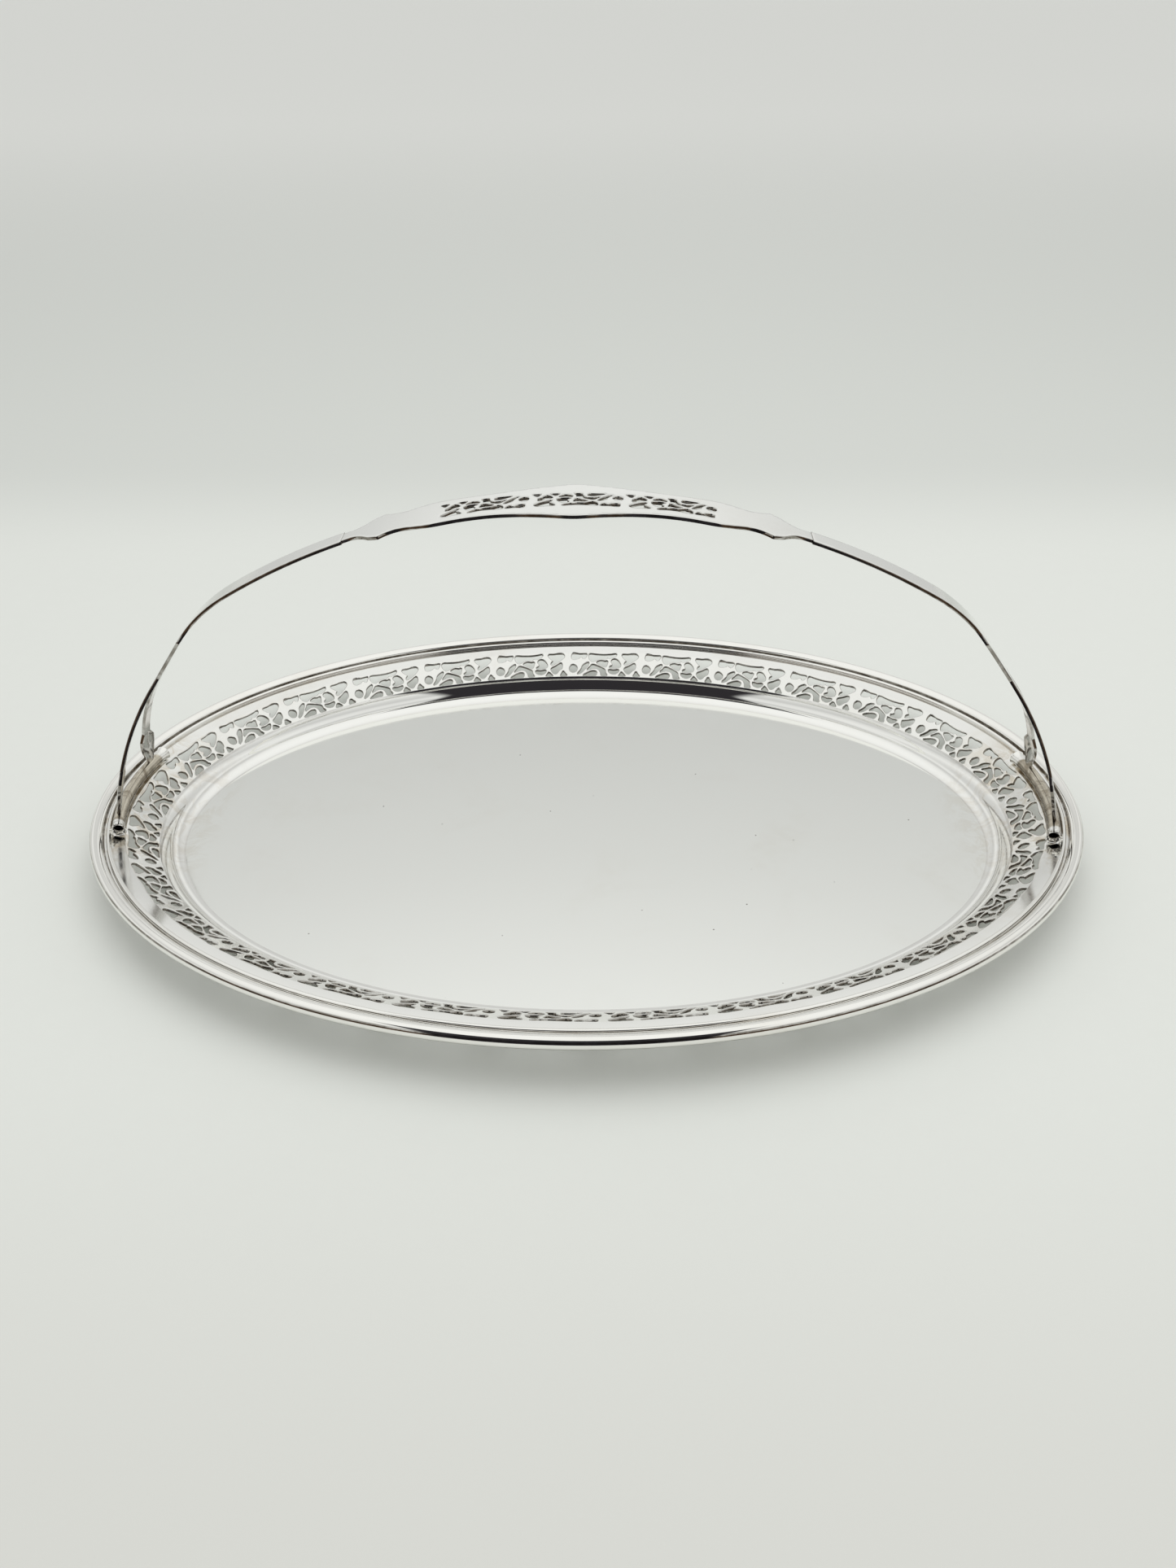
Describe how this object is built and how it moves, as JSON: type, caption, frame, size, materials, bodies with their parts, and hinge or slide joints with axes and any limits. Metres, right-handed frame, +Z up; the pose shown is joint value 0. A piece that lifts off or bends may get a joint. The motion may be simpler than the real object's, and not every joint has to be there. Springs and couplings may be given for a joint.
{
  "type": "serving tray",
  "caption": "Oval metal serving tray with a pierced border and a fixed arched handle spanning its long axis.",
  "frame": {"origin": "centre of the flat underside that the tray stands on", "axes": "+X along the long axis and the handle's span, +Y across the tray, +Z up"},
  "size_m": [0.34, 0.238, 0.1242],
  "materials": {
    "well_silver": "polished silver plate with a soft sheen, faint tarnish at the edges",
    "cove_silver": "bright polished silver plate",
    "border_silver": "polished silver plate, pierced, with tarnish in the corners of the piercing",
    "flange_silver": "polished silver plate with warm tarnish beside the wires",
    "bead_silver": "bright polished silver plate",
    "handle_silver": "polished silver plate, lightly worn",
    "tube_silver": "silver plate with brown tarnish and solder dirt"
  },
  "bodies": {
    "root": {"well_floor": "well_silver", "cove_wall": "cove_silver", "pierced_border": "border_silver", "rim_flange": "flange_silver", "rim_bead": "bead_silver", "inner_reed": "bead_silver", "handle_grip": "handle_silver", "right_arm": "handle_silver", "left_arm": "handle_silver", "right_back_leg": "handle_silver", "right_front_leg": "handle_silver", "left_front_leg": "handle_silver", "left_back_leg": "handle_silver", "right_mount_tube": "tube_silver", "left_mount_tube": "tube_silver", "right_back_bell": "tube_silver", "right_front_bell": "tube_silver", "left_front_bell": "tube_silver", "left_back_bell": "tube_silver"}
  },
  "joints": []
}
